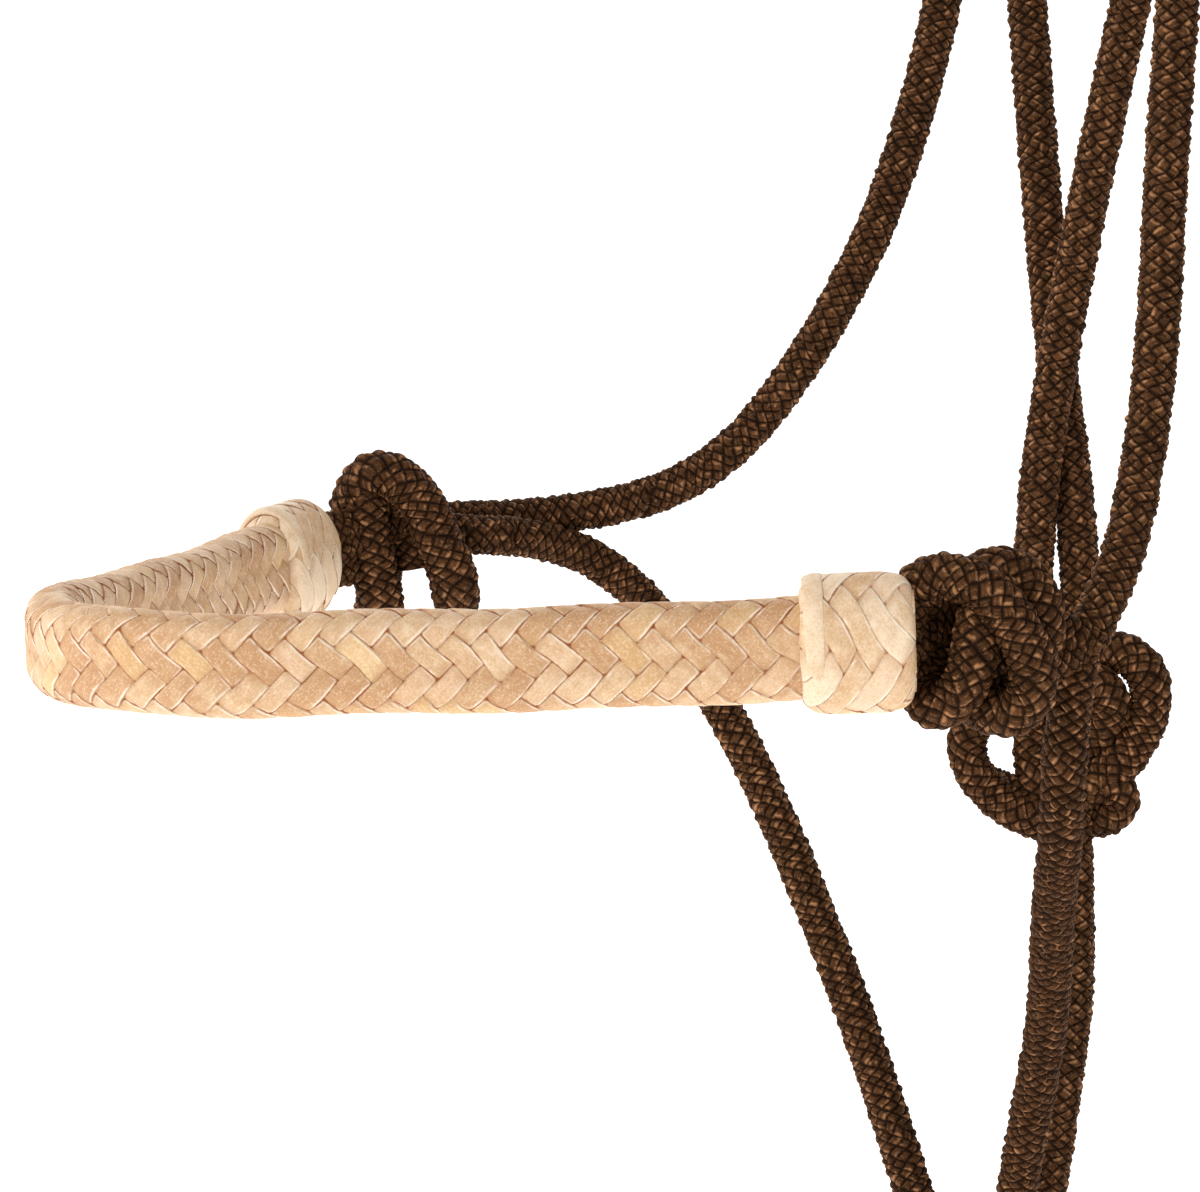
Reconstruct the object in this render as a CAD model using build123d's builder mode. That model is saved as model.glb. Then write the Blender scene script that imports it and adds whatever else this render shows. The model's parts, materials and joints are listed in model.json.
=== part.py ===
"""Rope halter with a braided rawhide noseband.  Millimetres, +Z up.

X runs towards the back of the head, Y towards the horse's right side.  The origin is
where the crown rests on the poll.  Places are given from the line between the two ends
of the noseband and moved to that origin by place().
"""
import os
from math import cos, pi, radians, sin, tan

from build123d import *

# Rope
ropeDiameter = 6.5
ropeRadius = ropeDiameter / 2
wrapPitch = 6.2            # spacing of turns that lie side by side in a knot
tipLength = 9.0
tipRadius = 3.5

# Noseband: two stacked rope cores inside a braided rawhide cover
noseArcRadius = 36.5
legLength = 95.5
legAngle = 35.75           # each leg's angle to the head's middle plane
bandHeight = 16.2
bandThickness = 9.2
coverWall = 1.3
coreRadius = 3.2
corePitch = 6.9
nearCoreReach = 6.5        # how far the cores run past the cover into each nose knot
farCoreReach = 12.5
bandPitch = 2.35           # the nose end hangs lower than the ends
bandEndHeight = 1.6
buttonLength = 18.2
buttonHeight = 21.0
buttonThickness = 14.2
buttonRound = 2.6

# Poll, measured from the middle of the line between the noseband's ends
pollBack = 125.0
pollHeight = 450.0
crownStrandGap = 7.0

# Knots
noseKnotRadius = 11.6
nearNoseKnotPlace = (14.8, -88.4, 2.0)
farNoseKnotPlace = (20.0, 85.0, 4.0)
throatKnotPlace = (97.0, -6.0, -28.0)
throatKnotRadius = 13.5
fiadorKnotPlace = (88.0, 0.0, -135.0)
fiadorKnotRadius = 13.0
cheekKnotRadius = 10.5
nearCheekKnotPlace = (90.0, -61.0, 240.0)
farCheekKnotPlace = (130.0, 61.0, 240.0)
hitchPlace = (90.0, -66.0, 284.0)
hitchRadius = 11.2

# Lead loops, swinging about a line along Y below the fiador knot
leadPivotHeight = -150.0
leadLoopGap = 7.0
leadLoopBottom = -206.0
leadLoopHalfWidth = 12.0
leadLoopNeck = 7.5
leadGrooveRadius = 7.8

# Tie loop above the near cheek knot
tieLoopTop = 292.0
tieLoopHalfWidth = 7.5


def place(x, y, z):
    """A point given from the noseband's ends, in the part's own frame."""
    return Vector(x - pollBack, y, z - pollHeight + ropeRadius)


def cornerRadii(route):
    """Largest even bend at each corner: 0.45 of the shorter run over tan(turn / 2)."""
    radii = []
    for before, corner, after in zip(route, route[1:], route[2:]):
        turn = radians((corner - before).get_angle(after - corner))
        shorter = min((corner - before).length, (after - corner).length)
        radii.append(0.45 * shorter / tan(turn / 2))
    return radii


def ropeTube(route, radii, radius=ropeRadius):
    """A round rope along straight runs joined by tangent arcs."""
    with BuildPart() as tube:
        with BuildLine() as line:
            FilletPolyline(*route, radius=radii)
        with BuildSketch(Plane(origin=route[0], z_dir=route[1] - route[0])):
            Circle(radius)
        sweep()
    length = line.wires()[0].length
    fill = tube.part.volume / (pi * radius ** 2 * length)
    print(f"  length {length:.1f}, tightest bend {min(radii):.1f}, volume ratio {fill:.4f}")
    return tube


def wrapKnot(centre, upright, turns, outerRadius):
    """Turns of rope side by side round a solid middle."""
    middle = outerRadius - ropeRadius
    height = (turns - 1) * wrapPitch
    with BuildPart(Plane(origin=centre, z_dir=upright)) as knot:
        Cylinder(middle, height + ropeRadius)
        for turn in range(turns):
            with Locations((0, 0, turn * wrapPitch - height / 2)):
                Torus(middle, ropeRadius)
    return knot


def save(piece, label):
    piece.part.label = label
    export_step(piece.part, f"parts/{label}.step")
    print(label)


os.makedirs("parts", exist_ok=True)

# Noseband plane and the middle line of the band
slope = radians(bandPitch)
bandPlane = Plane(
    origin=place(0, 0, bandEndHeight),
    x_dir=(cos(slope), 0, sin(slope)),
    z_dir=(-sin(slope), 0, cos(slope)),
)
lean = radians(legAngle)
arcCentreX = -legLength * cos(lean) + noseArcRadius * sin(lean)
tangentX = arcCentreX - noseArcRadius * sin(lean)
tangentY = noseArcRadius * cos(lean)
bandEndY = tangentY + legLength * sin(lean)


def bandSweep(profile, nearReach=0.0, farReach=0.0):
    """Carries a profile, drawn by profile(), round the nose from end to end."""
    nearEnd = (nearReach * cos(lean), -bandEndY - nearReach * sin(lean))
    farEnd = (farReach * cos(lean), bandEndY + farReach * sin(lean))
    with BuildPart() as band:
        with BuildLine(bandPlane):
            Line(nearEnd, (tangentX, -tangentY))
            ThreePointArc((tangentX, -tangentY), (arcCentreX - noseArcRadius, 0), (tangentX, tangentY))
            Line((tangentX, tangentY), farEnd)
        start = bandPlane.from_local_coords(Vector(*nearEnd))
        heading = bandPlane.from_local_coords(Vector(tangentX, -tangentY)) - start
        with BuildSketch(Plane(origin=start, x_dir=bandPlane.z_dir, z_dir=heading)):
            profile()
        sweep()
    return band


def coverProfile():
    SlotOverall(bandHeight, bandThickness)
    SlotOverall(bandHeight - 2 * coverWall, bandThickness - 2 * coverWall, mode=Mode.SUBTRACT)


def upperCoreProfile():
    with Locations((corePitch / 2, 0)):
        Circle(coreRadius)


def lowerCoreProfile():
    with Locations((-corePitch / 2, 0)):
        Circle(coreRadius)


save(bandSweep(coverProfile), "noseband_cover")
save(bandSweep(upperCoreProfile, nearCoreReach, farCoreReach), "noseband_core_upper")
save(bandSweep(lowerCoreProfile, nearCoreReach, farCoreReach), "noseband_core_lower")

# Rawhide buttons, one round each end of the cover
for label, side in (("near_button", -1), ("far_button", 1)):
    legEnd = bandPlane.from_local_coords(Vector(0, side * bandEndY))
    legStart = bandPlane.from_local_coords(Vector(tangentX, side * tangentY))
    buttonPlane = Plane(origin=legEnd, x_dir=bandPlane.z_dir, z_dir=legStart - legEnd)
    with BuildPart() as button:
        with BuildSketch(buttonPlane):
            Ellipse(buttonHeight / 2, buttonThickness / 2)
        extrude(amount=buttonLength)
        fillet(button.edges(), buttonRound)
        with BuildSketch(buttonPlane):
            SlotOverall(bandHeight, bandThickness)
        extrude(amount=buttonLength, mode=Mode.SUBTRACT)
    save(button, label)

# Knots
save(wrapKnot(place(*nearNoseKnotPlace), (0, 1, 0), 3, noseKnotRadius), "near_nose_knot")
save(wrapKnot(place(*farNoseKnotPlace), (0, 1, 0), 3, noseKnotRadius), "far_nose_knot")
save(wrapKnot(place(*throatKnotPlace), (0, 0, 1), 4, throatKnotRadius), "throat_knot")
save(wrapKnot(place(*nearCheekKnotPlace), (0, 0, 1), 3, cheekKnotRadius), "near_cheek_knot")
save(wrapKnot(place(*farCheekKnotPlace), (0, 0, 1), 3, cheekKnotRadius), "far_cheek_knot")
save(wrapKnot(place(*hitchPlace), (0, 0, 1), 3, hitchRadius), "tie_hitch")

# Fiador knot, grooved underneath so that the lead loops can swing
leadPivot = place(fiadorKnotPlace[0], 0, leadPivotHeight)
fiadorLength = 3 * wrapPitch
with BuildPart(Plane(origin=place(*fiadorKnotPlace))) as fiadorKnot:
    Cylinder(fiadorKnotRadius - ropeRadius, fiadorLength + ropeRadius)
    for turn in range(4):
        with Locations((0, 0, turn * wrapPitch - fiadorLength / 2)):
            Torus(fiadorKnotRadius - ropeRadius, ropeRadius)
    with BuildSketch(Plane(origin=leadPivot, z_dir=(0, 1, 0))):
        Circle(leadGrooveRadius)
    extrude(amount=2 * fiadorKnotRadius, both=True, mode=Mode.SUBTRACT)
save(fiadorKnot, "fiador_knot")

# Lead loops, side by side
for label, step in (("lead_loop_front", -0.5), ("lead_loop_rear", 0.5)):
    loopX = fiadorKnotPlace[0] + step * leadLoopGap
    loopRoute = [
        place(loopX, -leadLoopNeck, leadPivotHeight),
        place(loopX, -leadLoopHalfWidth, leadPivotHeight - 24),
        place(loopX, -leadLoopHalfWidth + 1, leadLoopBottom),
        place(loopX, leadLoopHalfWidth - 1, leadLoopBottom),
        place(loopX, leadLoopHalfWidth, leadPivotHeight - 24),
        place(loopX, leadLoopNeck, leadPivotHeight),
    ]
    foldRadii = cornerRadii(loopRoute)
    save(ropeTube(loopRoute, foldRadii), label)

# Tie loop, a bight that stands out of the near cheek knot
tieX = nearCheekKnotPlace[0]
tieRoute = [
    place(tieX - tieLoopHalfWidth, -62, 246),
    place(tieX - tieLoopHalfWidth, -66, tieLoopTop),
    place(tieX + tieLoopHalfWidth, -66, tieLoopTop),
    place(tieX + tieLoopHalfWidth, -62, 246),
]
save(ropeTube(tieRoute, cornerRadii(tieRoute)), "tie_loop")

# Rope runs between the knots, each from its lower or front end
routes = {
    "near_cheek_rope": [
        (31.5, -87.4, -1.0),
        (40.5, -86.2, 9.0),
        (46.5, -85.0, 27.0),
        (50.5, -83.8, 47.0),
        (54.5, -81.0, 82.0),
        (64.0, -76.0, 136.0),
        (78.0, -69.0, 190.0),
        (87.0, -64.0, 233.0),
    ],
    "near_chin_rope": [
        (32.0, -87.2, 1.0),
        (29.5, -86.6, -14.0),
        (34.5, -80.0, -31.0),
        (48.0, -62.0, -47.0),
        (66.0, -40.0, -71.0),
        (77.0, -20.0, -98.0),
        (82.0, -8.5, -125.0),
    ],
    "far_cheek_rope": [
        (35.0, 88.0, 8.0),
        (55.0, 85.0, 8.0),
        (75.5, 68.0, 14.5),
        (89.0, 53.0, 33.0),
        (104.0, 46.0, 66.0),
        (118.0, 48.0, 115.0),
        (123.5, 57.5, 172.0),
        (126.0, 62.5, 233.0),
    ],
    "far_chin_rope": [
        (35.0, 80.2, 3.0),
        (46.0, 80.6, 2.0),
        (61.0, 78.0, -4.0),
        (71.0, 69.0, -18.0),
        (74.5, 55.0, -37.0),
        (76.0, 40.0, -60.0),
        (78.5, 22.0, -90.0),
        (82.0, 8.5, -125.0),
    ],
    "throat_rope_near": [
        (92.0, -5.5, -125.0),
        (93.5, -9.5, -99.0),
        (96.5, -11.5, -69.0),
        (96.5, -9.5, -38.0),
    ],
    "throat_rope_far": [
        (94.0, 4.0, -125.0),
        (99.0, -1.5, -99.0),
        (103.5, -5.0, -69.0),
        (101.5, -2.0, -38.0),
    ],
    "throatlatch_near": [
        (92.5, -2.8, -18.0),
        (92.4, -3.2, 10.0),
        (95.0, -6.5, 38.0),
        (96.0, -16.0, 76.0),
        (95.0, -34.0, 127.0),
        (93.0, -49.0, 180.0),
        (92.5, -57.0, 233.0),
    ],
    "throatlatch_far": [
        (100.5, -8.0, -18.0),
        (101.0, -6.0, 10.0),
        (101.2, -0.5, 38.0),
        (104.5, 9.5, 77.0),
        (112.0, 26.0, 128.0),
        (123.5, 42.5, 180.0),
        (133.5, 58.0, 233.0),
    ],
    "crown_rope_front": [
        (86.5, -67.0, 290.0),
        (88.5, -71.0, 325.0),
        (95.5, -70.0, 366.0),
        (104.5, -58.0, 405.0),
        (113.5, -38.0, 435.0),
        (119.5, -14.0, 450.0),
        (123.5, 14.0, 450.0),
        (126.5, 38.0, 435.0),
        (128.0, 58.0, 405.0),
        (128.0, 70.0, 366.0),
        (127.5, 71.0, 325.0),
        (127.0, 67.5, 286.0),
        (126.5, 60.5, 247.0),
    ],
    "tail_long": [
        (94.0, -83.0, 270.0),
        (93.0, -85.5, 236.0),
        (95.5, -84.0, 182.0),
        (94.0, -81.5, 112.0),
        (97.5, -83.5, 34.0),
        (96.0, -82.0, -46.0),
        (98.0, -84.0, -118.0),
        (96.5, -85.5, -160.0),
    ],
    "tail_short": [
        (102.5, -83.0, 270.0),
        (104.0, -85.0, 238.0),
        (107.5, -84.0, 188.0),
        (105.5, -82.5, 124.0),
        (108.0, -84.5, 54.0),
        (106.5, -83.5, -16.0),
        (109.0, -85.0, -70.0),
    ],
}
routes["crown_rope_rear"] = [(x + crownStrandGap, y, z) for x, y, z in routes["crown_rope_front"]]

for label, points in routes.items():
    ropeRoute = [place(*point) for point in points]
    bends = cornerRadii(ropeRoute)
    print("  bends", " ".join(f"{bend:.0f}" for bend in bends))
    save(ropeTube(ropeRoute, bends), label)

# Sealed tips that close the two tails
for label, tail in (("sealed_tip_long", "tail_long"), ("sealed_tip_short", "tail_short")):
    tailEnd = place(*routes[tail][-1])
    heading = tailEnd - place(*routes[tail][-2])
    with BuildPart(Plane(origin=tailEnd, z_dir=heading)) as tip:
        Cylinder(tipRadius, tipLength, align=(Align.CENTER, Align.CENTER, Align.MIN))
        fillet(tip.faces().sort_by(Axis((0, 0, 0), heading))[-1].edges(), tipRadius * 0.6)
    save(tip, label)
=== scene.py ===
import json
import math

import bpy
import numpy as np
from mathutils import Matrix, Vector

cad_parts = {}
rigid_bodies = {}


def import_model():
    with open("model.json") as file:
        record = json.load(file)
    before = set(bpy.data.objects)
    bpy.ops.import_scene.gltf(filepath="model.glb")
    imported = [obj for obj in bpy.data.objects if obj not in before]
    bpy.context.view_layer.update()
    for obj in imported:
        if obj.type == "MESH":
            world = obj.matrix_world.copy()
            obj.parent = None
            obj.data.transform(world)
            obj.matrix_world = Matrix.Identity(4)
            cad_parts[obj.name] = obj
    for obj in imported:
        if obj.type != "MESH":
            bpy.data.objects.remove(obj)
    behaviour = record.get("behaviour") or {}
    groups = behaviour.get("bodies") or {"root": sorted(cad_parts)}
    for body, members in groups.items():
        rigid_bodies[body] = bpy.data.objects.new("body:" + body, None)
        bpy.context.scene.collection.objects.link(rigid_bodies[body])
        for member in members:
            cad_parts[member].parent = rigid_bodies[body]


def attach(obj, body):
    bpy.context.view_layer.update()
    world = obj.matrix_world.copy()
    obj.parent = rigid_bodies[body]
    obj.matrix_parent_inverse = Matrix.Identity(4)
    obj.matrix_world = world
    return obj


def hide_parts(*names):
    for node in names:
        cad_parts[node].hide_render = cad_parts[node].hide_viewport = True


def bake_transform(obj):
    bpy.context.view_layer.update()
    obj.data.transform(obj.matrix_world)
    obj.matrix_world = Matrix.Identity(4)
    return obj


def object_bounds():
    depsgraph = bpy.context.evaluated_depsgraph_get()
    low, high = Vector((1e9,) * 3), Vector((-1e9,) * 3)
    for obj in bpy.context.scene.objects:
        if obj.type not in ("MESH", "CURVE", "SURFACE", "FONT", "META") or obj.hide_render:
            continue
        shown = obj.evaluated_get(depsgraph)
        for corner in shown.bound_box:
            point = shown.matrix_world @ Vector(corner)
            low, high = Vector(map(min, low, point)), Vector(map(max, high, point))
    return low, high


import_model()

cadLow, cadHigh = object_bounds()

poll = dict(back=0.125, height=0.44675)
look = dict(azimuth=35.75, elevation=6.0, distance=0.9, lens=175.5, aim=(-0.0393, -0.0571, 0.00915))
rope = dict(radius=0.0035, columns=7, pitch=0.0022, over=1, relief=0.0009, steps=7, wander=0.12, uneven=0.35)
band = dict(
    arcRadius=0.0365, leg=0.0955, angle=35.75, pulled=1.05,
    rise=0.0014, riseSpread=0.045, endRise=0.0006, sway=(0.00022, 0.00016),
    height=0.0154, thickness=0.0084, pitch=2.35, endHeight=0.0016,
    columns=8, strandPitch=0.0049, over=2, relief=0.00042, steps=12, wander=0.055, uneven=0.9,
)
button = dict(
    length=0.0173, farther=1.15, height=0.0106, thickness=0.0069, shoulder=0.62, rise=0.0006,
    columns=9, strandPitch=0.0042, over=3, relief=0.00042, steps=12, wander=0.06, uneven=0.7,
)
collar = dict(
    width=0.0016, thickness=0.0004, lift=0.00095, sink=0.0008, slant=0.35, trail=0.0009, place=0.0152,
)
ropeGrain = dict(fuzz=4200.0, clump=900.0, patch=210.0)
# Rope colours: gap is painted shade between the strands, light is the colour of painted highlights on rims
# and yarns
ropeColours = dict(gap="170D07", low="3A2412", high="623F25", light="B8835A")
hideGrain = dict(grain=3000.0, mottle=520.0, highlightAndShadeNoise=330.0, broad=60.0)
# Rawhide colours: gap is painted shade in the seams and corners, edge is the colour of painted highlights
# along strip edges
hideColours = dict(
    gap="8F4A18", tan="B98B61", cream="D5B48E", pale="EBD5B8", edge="FFF2E2", pink="C7956C", honey="DDB980",
)
tipColours = dict(dark="140C07", light="33221A")
studio = dict(
    paper="F7F6F4", paperRoughness=0.9, ambient=0.3,
    gap=0.004, front=-12.0, back=8.0, cove=1.5, coveSteps=24, wall=12.0, halfWidth=20.0,
)
# Each light: rightward, deeper and up from the noseband, size and watts
lights = dict(
    key=(-0.75, -0.95, 1.15, 0.35, 14.5),
    fill=(1.1, -0.8, 0.2, 0.9, 2.5),
    left=(-1.2, 0.05, 0.35, 0.5, 5),
    back=(0.2, 1.5, 1.2, 1.0, 9),
)
hiddenSteps = 4


def colour(code):
    # sRGB hex turned linear
    srgb = np.array([int(code[k:k + 2], 16) for k in (0, 2, 4)]) / 255
    linear = np.where(srgb <= 0.04045, srgb / 12.92, ((srgb + 0.055) / 1.055) ** 2.4)
    return (*linear.tolist(), 1.0)


def place(points):
    # Points given from the middle of the line between the noseband's ends
    return np.array(points, float) - (poll["back"], 0, poll["height"])


def smoothLine(points, spacing):
    # Evenly spaced points along the NURBS line that a route controls
    curve = bpy.data.curves.new("route", "CURVE")
    curve.dimensions = "3D"
    spline = curve.splines.new("NURBS")
    spline.points.add(len(points) - 1)
    spline.points.foreach_set("co", np.column_stack([points, np.ones(len(points))]).ravel())
    spline.order_u = 3
    spline.use_endpoint_u = True
    spline.resolution_u = 24
    holder = bpy.data.objects.new("route", curve)
    mesh = bpy.data.meshes.new_from_object(holder)
    line = np.empty(len(mesh.vertices) * 3)
    mesh.vertices.foreach_get("co", line)
    line = line.reshape(-1, 3)
    bpy.data.objects.remove(holder)
    bpy.data.curves.remove(curve)
    bpy.data.meshes.remove(mesh)
    reach = np.concatenate([[0], np.cumsum(np.linalg.norm(np.diff(line, axis=0), axis=1))])
    count = max(8, int(round(reach[-1] / spacing)))
    even = np.linspace(0, reach[-1], count + 1)
    return np.column_stack([np.interp(even, reach, line[:, k]) for k in range(3)])


def carriedFrames(line):
    # Two directions across the line at each point, turned as little as possible
    ahead = np.gradient(line, axis=0)
    ahead /= np.linalg.norm(ahead, axis=1)[:, None]
    side = np.empty_like(ahead)
    start = np.cross(ahead[0], (0.3, 0.5, 0.81))
    side[0] = start / np.linalg.norm(start)
    for k in range(1, len(line)):
        carried = side[k - 1] - ahead[k] * (side[k - 1] @ ahead[k])
        side[k] = carried / np.linalg.norm(carried)
    return side, np.cross(ahead, side)


def braidPlace(along, around, over, columns):
    # Place across and along the strand on top, and a number of that strand's own.
    # a = along - around numbers one set of strands and b = along + around the other.
    # The first set is on top where floor(b) - floor(a), modulo twice over, is below over
    a, b = along - around, along + around
    i, j = np.floor(a + 1e-6), np.floor(b + 1e-6)
    turn = np.mod(j - i, 2 * over)
    first = turn < over
    across = np.where(first, a - i, b - j)
    run = np.where(first, turn + b - j, 2 * over - 1 - turn + a - i) / over
    ends = np.where(first, i + j - turn, i + j + turn + 1 - 2 * over)
    name = 12.9898 * ends + 78.233 * np.mod(np.where(first, i, j), columns) + np.where(first, 0, 3.7)
    return across, run, np.mod(np.sin(name) * 43758.5453, 1)


def wandered(along, around, columns, amount):
    # Braid coordinates moved a little to and fro, the same on both sides of the seam
    turn = 2 * np.pi * around / columns
    alongMoved = along + amount * (np.sin(turn + 0.9 * along) + 0.6 * np.sin(3 * turn + 2.3 * along + 1))
    aroundMoved = around + amount * (np.sin(2 * turn + 1.7 * along) + 0.5 * np.sin(turn - 3.1 * along + 2))
    return alongMoved, aroundMoved


def pillowHeight(along, around, over, columns, uneven):
    # Round strands: an arch across each strand times an arch along it, to the power 0.65
    across, run, own = braidPlace(along, around, over, columns)
    arch = (1 - np.abs(2 * across - 1) ** 2.2) * (1 - np.abs(2 * run - 1) ** 2.4)
    return np.clip(arch, 0, 1) ** 0.65 * (1 - uneven * own)


def stripHeight(along, around, over, columns, uneven):
    # Flat strips that dive at both ends, with a narrow groove at each side
    across, run, own = braidPlace(along, around, over, columns)
    dive = 1 - 0.85 * np.abs(2 * run - 1) ** 3.5
    groove = 1 - 0.35 * np.abs(2 * across - 1) ** 16
    tilt = (own - 0.5) * (across - 0.5) * uneven
    return np.clip(dive * groove + tilt, 0, 1.2)


def gridMesh(rings, uv):
    # Quads over a grid of rings closed round, with a fan closing each end
    count, around = rings.shape[:2]
    k = np.arange(around)
    r = np.arange(count - 1)[:, None]
    nextK = (k + 1) % around
    here, above = r * around, (r + 1) * around
    quads = np.stack([here + k, here + nextK, above + nextK, above + k], axis=-1)
    quadUv = np.stack([uv[r, k], uv[r, k + 1], uv[r + 1, k + 1], uv[r + 1, k]], axis=-2)
    first, last = count * around, count * around + 1
    base = (count - 1) * around
    capStart = np.stack([np.full(around, first), nextK, k], axis=-1)
    capEnd = np.stack([np.full(around, last), base + k, base + nextK], axis=-1)
    startUv = np.stack([uv[0, :-1], uv[0, 1:], uv[0, :-1]], axis=-2)
    endUv = np.stack([uv[-1, :-1], uv[-1, :-1], uv[-1, 1:]], axis=-2)
    points = np.concatenate([rings.reshape(-1, 3), [rings[0].mean(axis=0)], [rings[-1].mean(axis=0)]])
    return dict(
        points=points,
        quads=quads.reshape(-1, 4),
        triangles=np.concatenate([capStart, capEnd]),
        quadUv=quadUv.reshape(-1, 2),
        triangleUv=np.concatenate([startUv, endUv]).reshape(-1, 2),
    )


def makeObject(name, pieces, material):
    # One object out of one or more grids
    starts = np.cumsum([0] + [len(piece["points"]) for piece in pieces])
    points = np.concatenate([piece["points"] for piece in pieces])
    quads = np.concatenate([piece["quads"] + start for piece, start in zip(pieces, starts)])
    triangles = np.concatenate([piece["triangles"] + start for piece, start in zip(pieces, starts)])
    uv = np.concatenate([piece["quadUv"] for piece in pieces] + [piece["triangleUv"] for piece in pieces])
    corners = np.concatenate([quads.ravel(), triangles.ravel()]).astype(np.int32)
    loopStart = np.concatenate([np.arange(len(quads)) * 4, 4 * len(quads) + np.arange(len(triangles)) * 3])
    mesh = bpy.data.meshes.new(name)
    mesh.vertices.add(len(points))
    mesh.vertices.foreach_set("co", points.ravel().astype(np.float32))
    mesh.loops.add(len(corners))
    mesh.loops.foreach_set("vertex_index", corners)
    mesh.polygons.add(len(loopStart))
    mesh.polygons.foreach_set("loop_start", loopStart.astype(np.int32))
    mesh.update(calc_edges=True)
    layer = mesh.uv_layers.new(name="braid")
    layer.uv.foreach_set("vector", uv.ravel().astype(np.float32))
    mesh.shade_smooth()
    mesh.materials.append(material)
    thing = bpy.data.objects.new(name, mesh)
    bpy.context.scene.collection.objects.link(thing)
    return thing


def ropeGrid(line, radius, steps=None):
    # A plaited rope round a line of evenly spaced points
    steps = steps or rope["steps"]
    turns = rope["columns"] * steps
    side, cross = carriedFrames(line)
    reach = np.concatenate([[0], np.cumsum(np.linalg.norm(np.diff(line, axis=0), axis=1))])
    rows = max(2, int(round(reach[-1] / rope["pitch"])))
    along = (np.arange(len(line)) / (len(line) - 1) * rows)[:, None]
    around = (np.arange(turns + 1) / steps)[None, :]
    braidAlong, braidAround = wandered(along, around, rope["columns"], rope["wander"])
    height = pillowHeight(
        braidAlong[:, :-1], braidAround[:, :-1], rope["over"], rope["columns"], rope["uneven"],
    )
    angle = 2 * np.pi * around[:, :-1] / rope["columns"]
    out = radius - 0.6 * rope["relief"] + rope["relief"] * height
    direction = side[:, None] * np.cos(angle)[..., None] + cross[:, None] * np.sin(angle)[..., None]
    rings = line[:, None] + direction * out[..., None]
    uv = np.stack([braidAlong, braidAround], axis=-1)
    return gridMesh(rings, uv)


def ropePiece(points, radius=None, steps=None):
    # A rope along the NURBS line of a route, with one ring per braid step
    radius = radius or rope["radius"]
    fine = steps or rope["steps"]
    return ropeGrid(smoothLine(points, rope["pitch"] / fine), radius, fine)


def add(tree, kind, inputs=None, **settings):
    # Adds a node, sets it and links or fills its inputs
    item = tree.nodes.new(kind)
    for name, value in settings.items():
        setattr(item, name, value)
    for slot, value in (inputs or {}).items():
        if isinstance(value, bpy.types.NodeSocket):
            tree.links.new(value, item.inputs[slot])
        else:
            item.inputs[slot].default_value = value
    return item


def maths(tree, operation, *values, clamp=False):
    inputs = dict(enumerate(values))
    return add(tree, "ShaderNodeMath", inputs, operation=operation, use_clamp=clamp).outputs[0]


def pick(tree, factor, zero, one):
    return add(tree, "ShaderNodeMix", {0: factor, 2: zero, 3: one}).outputs[0]


def blendColour(tree, factor, zero, one, mode="MIX"):
    inputs = {0: factor, 6: zero, 7: one}
    return add(tree, "ShaderNodeMix", inputs, data_type="RGBA", blend_type=mode).outputs[2]


def ramp(tree, value, low, high):
    # 0 at low and 1 at high, smooth between, and downhill where low is above high
    inputs = {0: value, 1: low, 2: high}
    return add(tree, "ShaderNodeMapRange", inputs, interpolation_type="SMOOTHSTEP").outputs[0]


def noise(tree, vector, scale, detail=2.0):
    return add(tree, "ShaderNodeTexNoise", {"Vector": vector, "Scale": scale, "Detail": detail}).outputs[0]


def newMaterial(name):
    material = bpy.data.materials.new(name)
    material.use_nodes = True
    tree = material.node_tree
    return material, tree, tree.nodes["Principled BSDF"]


def braidNodes(tree, over, columns):
    # Place on the strand that is on top, as braidPlace works it out
    uv = add(tree, "ShaderNodeUVMap", uv_map="braid").outputs[0]
    parts = add(tree, "ShaderNodeSeparateXYZ", {0: uv}).outputs
    a = maths(tree, "SUBTRACT", parts[0], parts[1])
    b = maths(tree, "ADD", parts[0], parts[1])
    i, j = maths(tree, "FLOOR", a), maths(tree, "FLOOR", b)
    partA, partB = maths(tree, "FRACT", a), maths(tree, "FRACT", b)
    turn = maths(tree, "FLOORED_MODULO", maths(tree, "SUBTRACT", j, i), 2.0 * over)
    first = maths(tree, "LESS_THAN", turn, over - 0.5)
    back = maths(tree, "SUBTRACT", 2.0 * over - 1, turn)
    across = pick(tree, first, partB, partA)
    run = pick(tree, first, maths(tree, "ADD", back, partA), maths(tree, "ADD", turn, partB))
    both = maths(tree, "ADD", i, j)
    ends = maths(tree, "SUBTRACT", both, pick(tree, first, back, turn))
    strand = maths(tree, "FLOORED_MODULO", pick(tree, first, j, i), float(columns))
    name = add(tree, "ShaderNodeCombineXYZ", {0: ends, 1: strand, 2: first}).outputs[0]
    random = add(tree, "ShaderNodeTexWhiteNoise", {0: name}, noise_dimensions="3D").outputs
    edge = maths(tree, "MINIMUM", across, maths(tree, "SUBTRACT", 1.0, across))
    end = maths(tree, "MINIMUM", run, maths(tree, "SUBTRACT", float(over), run))
    return dict(across=across, run=run, random=random, edge=edge, end=end)


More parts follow.
